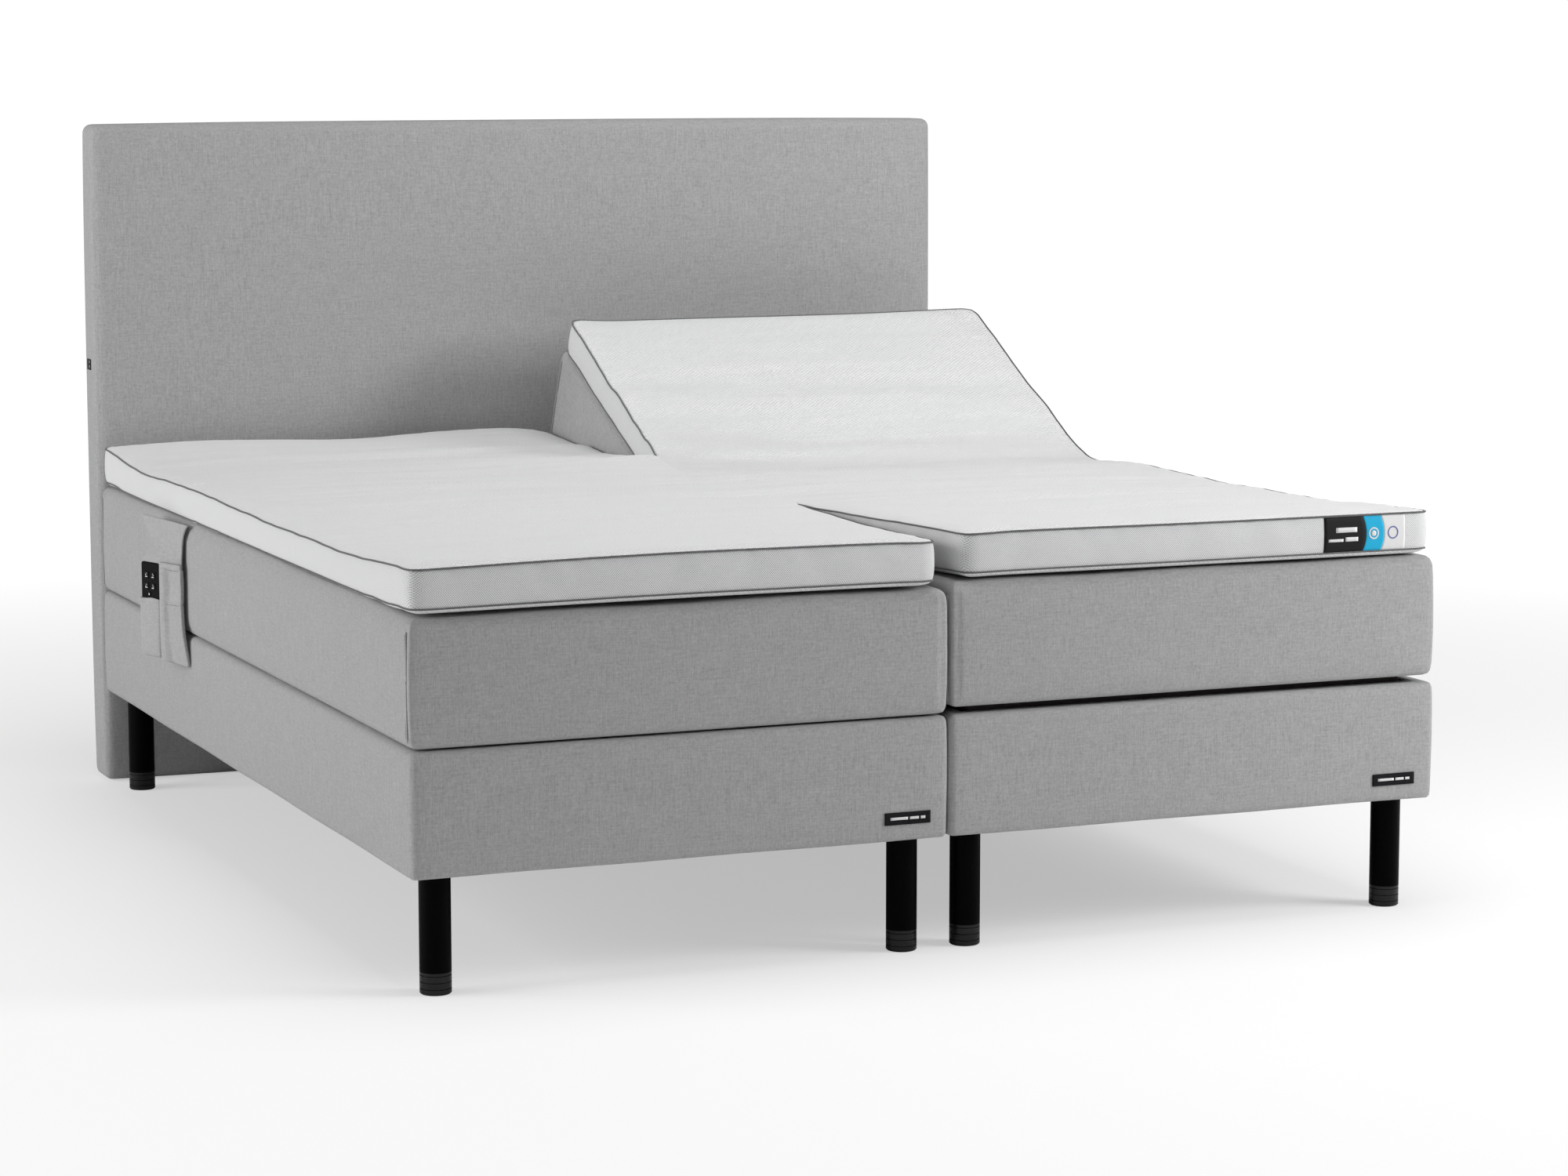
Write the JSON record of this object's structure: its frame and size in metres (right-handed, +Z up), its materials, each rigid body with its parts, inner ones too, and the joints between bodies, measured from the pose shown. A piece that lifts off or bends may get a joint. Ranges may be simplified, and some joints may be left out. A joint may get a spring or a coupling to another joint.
{
  "type": "adjustable bed",
  "caption": "Upholstered double adjustable bed: headboard, two box bases on round legs, jointed mattresses, one split topper, twin drives and a remote in a caddy.",
  "frame": {"origin": "on the floor, under the middle of the whole footprint, headboard included", "axes": "+X to the right seen from the foot end, +Y towards the headboard, +Z up"},
  "size_m": [1.9252, 2.126, 1.3],
  "materials": {
    "grey_weave": "matte",
    "caddy_weave": "matte",
    "white_knit": "matte",
    "softwood": "matte",
    "plywood": "satin",
    "nonwoven": "matte",
    "tag_weave": "matte",
    "black_lacquer": "satin",
    "black_plastic": "satin",
    "zinc_steel": "satin",
    "powder_coat": "satin",
    "drive_plastic": "matte",
    "motor_metal": "satin",
    "pusher_nylon": "satin",
    "socket_plastic": "satin",
    "remote_plastic": "satin",
    "key_rubber": "matte"
  },
  "bodies": {
    "root": {"control_box": "drive_plastic", "drive_motors": "motor_metal", "dust_covers": "nonwoven", "headboard_brackets": "powder_coat", "headboard_frame": "softwood", "headboard_upholstery": "grey_weave", "left_base_box": "softwood", "left_base_upholstery": "grey_weave", "left_drive_housing": "drive_plastic", "left_seat_deck": "plywood", "left_seat_frame": "powder_coat", "left_seat_pad": "grey_weave", "leg_feet": "black_plastic", "leg_studs": "zinc_steel", "legs": "black_lacquer", "right_base_box": "softwood", "right_base_upholstery": "grey_weave", "right_drive_housing": "drive_plastic", "right_seat_deck": "plywood", "right_seat_frame": "powder_coat", "right_seat_pad": "grey_weave", "topper_centre": "white_knit", "usb_sockets": "socket_plastic", "woven_tags": "tag_weave"},
    "left_back": {"left_back_frame": "powder_coat", "left_back_deck": "plywood", "left_back_pad": "grey_weave", "left_topper_head": "white_knit", "left_remote_caddy": "caddy_weave"},
    "left_foot": {"left_foot_frame": "powder_coat", "left_foot_deck": "plywood", "left_foot_pad": "grey_weave", "left_topper_foot": "white_knit"},
    "left_back_push": {"left_back_pusher": "pusher_nylon"},
    "left_foot_push": {"left_foot_pusher": "pusher_nylon"},
    "left_remote": {"left_remote_case": "remote_plastic"},
    "left_head_up": {"left_key_head_up": "key_rubber"},
    "left_foot_up": {"left_key_foot_up": "key_rubber"},
    "left_head_down": {"left_key_head_down": "key_rubber"},
    "left_foot_down": {"left_key_foot_down": "key_rubber"},
    "left_light": {"left_key_light": "key_rubber"},
    "right_back": {"right_back_frame": "powder_coat", "right_back_deck": "plywood", "right_back_pad": "grey_weave", "right_topper_head": "white_knit", "right_remote_caddy": "caddy_weave"},
    "right_foot": {"right_foot_frame": "powder_coat", "right_foot_deck": "plywood", "right_foot_pad": "grey_weave", "right_topper_foot": "white_knit"},
    "right_back_push": {"right_back_pusher": "pusher_nylon"},
    "right_foot_push": {"right_foot_pusher": "pusher_nylon"},
    "right_remote": {"right_remote_case": "remote_plastic"},
    "right_head_up": {"right_key_head_up": "key_rubber"},
    "right_foot_up": {"right_key_foot_up": "key_rubber"},
    "right_head_down": {"right_key_head_down": "key_rubber"},
    "right_foot_down": {"right_key_foot_down": "key_rubber"},
    "right_light": {"right_key_light": "key_rubber"}
  },
  "joints": [
    {"name": "left_back_raise", "type": "hinge", "parent": "root", "child": "left_back", "pos_m": [-0.45, 0.2605, 0.361], "axis": [1, 0, 0], "range_deg": [0, 60]},
    {"name": "left_foot_raise", "type": "hinge", "parent": "root", "child": "left_foot", "pos_m": [-0.45, -0.4205, 0.361], "axis": [-1, 0, 0], "range_deg": [0, 28]},
    {"name": "left_back_push_slide", "type": "slide", "parent": "root", "child": "left_back_push", "axis": [0, 1, 0], "range_m": [0, 0.0752]},
    {"name": "left_foot_push_slide", "type": "slide", "parent": "root", "child": "left_foot_push", "axis": [0, -1, 0], "range_m": [0, 0.03649]},
    {"name": "left_remote_lift", "type": "slide", "parent": "left_back", "child": "left_remote", "axis": [0, 0, 1], "range_m": [0, 0.11]},
    {"name": "left_press_head_up", "type": "slide", "parent": "left_remote", "child": "left_head_up", "axis": [0.9336, 0.3584, 0], "range_m": [0, 0.0008], "stiffness_N_per_m": 500, "springref_m": -0.0004},
    {"name": "left_press_foot_up", "type": "slide", "parent": "left_remote", "child": "left_foot_up", "axis": [0.9336, 0.3584, 0], "range_m": [0, 0.0008], "stiffness_N_per_m": 500, "springref_m": -0.0004},
    {"name": "left_press_head_down", "type": "slide", "parent": "left_remote", "child": "left_head_down", "axis": [0.9336, 0.3584, 0], "range_m": [0, 0.0008], "stiffness_N_per_m": 500, "springref_m": -0.0004},
    {"name": "left_press_foot_down", "type": "slide", "parent": "left_remote", "child": "left_foot_down", "axis": [0.9336, 0.3584, 0], "range_m": [0, 0.0008], "stiffness_N_per_m": 500, "springref_m": -0.0004},
    {"name": "left_press_light", "type": "slide", "parent": "left_remote", "child": "left_light", "axis": [0.9336, 0.3584, 0], "range_m": [0, 0.0008], "stiffness_N_per_m": 500, "springref_m": -0.0004},
    {"name": "right_back_raise", "type": "hinge", "parent": "root", "child": "right_back", "pos_m": [0.45, 0.2605, 0.361], "axis": [1, 0, 0], "range_deg": [-24, 36]},
    {"name": "right_foot_raise", "type": "hinge", "parent": "root", "child": "right_foot", "pos_m": [0.45, -0.4205, 0.361], "axis": [-1, 0, 0], "range_deg": [-0.8, 27.2]},
    {"name": "right_back_push_slide", "type": "slide", "parent": "root", "child": "right_back_push", "axis": [0, 1, 0], "range_m": [-0.0302, 0.0452]},
    {"name": "right_foot_push_slide", "type": "slide", "parent": "root", "child": "right_foot_push", "axis": [0, -1, 0], "range_m": [-0.00124, 0.03545]},
    {"name": "right_remote_lift", "type": "slide", "parent": "right_back", "child": "right_remote", "axis": [0, -0.4067, 0.9135], "range_m": [0, 0.11]},
    {"name": "right_press_head_up", "type": "slide", "parent": "right_remote", "child": "right_head_up", "axis": [-0.9336, 0.3274, 0.1458], "range_m": [0, 0.0008], "stiffness_N_per_m": 500, "springref_m": -0.0004},
    {"name": "right_press_foot_up", "type": "slide", "parent": "right_remote", "child": "right_foot_up", "axis": [-0.9336, 0.3274, 0.1458], "range_m": [0, 0.0008], "stiffness_N_per_m": 500, "springref_m": -0.0004},
    {"name": "right_press_head_down", "type": "slide", "parent": "right_remote", "child": "right_head_down", "axis": [-0.9336, 0.3274, 0.1458], "range_m": [0, 0.0008], "stiffness_N_per_m": 500, "springref_m": -0.0004},
    {"name": "right_press_foot_down", "type": "slide", "parent": "right_remote", "child": "right_foot_down", "axis": [-0.9336, 0.3274, 0.1458], "range_m": [0, 0.0008], "stiffness_N_per_m": 500, "springref_m": -0.0004},
    {"name": "right_press_light", "type": "slide", "parent": "right_remote", "child": "right_light", "axis": [-0.9336, 0.3274, 0.1458], "range_m": [0, 0.0008], "stiffness_N_per_m": 500, "springref_m": -0.0004}
  ],
  "couplings": [
    {"joint": "left_back_push_slide", "follows": "left_back_raise", "m_per_rad": 0.07162},
    {"joint": "left_foot_push_slide", "follows": "left_foot_raise", "m_per_rad": 0.074256},
    {"joint": "right_back_push_slide", "follows": "right_back_raise", "m_per_rad": 0.07162},
    {"joint": "right_foot_push_slide", "follows": "right_foot_raise", "m_per_rad": 0.074256}
  ]
}
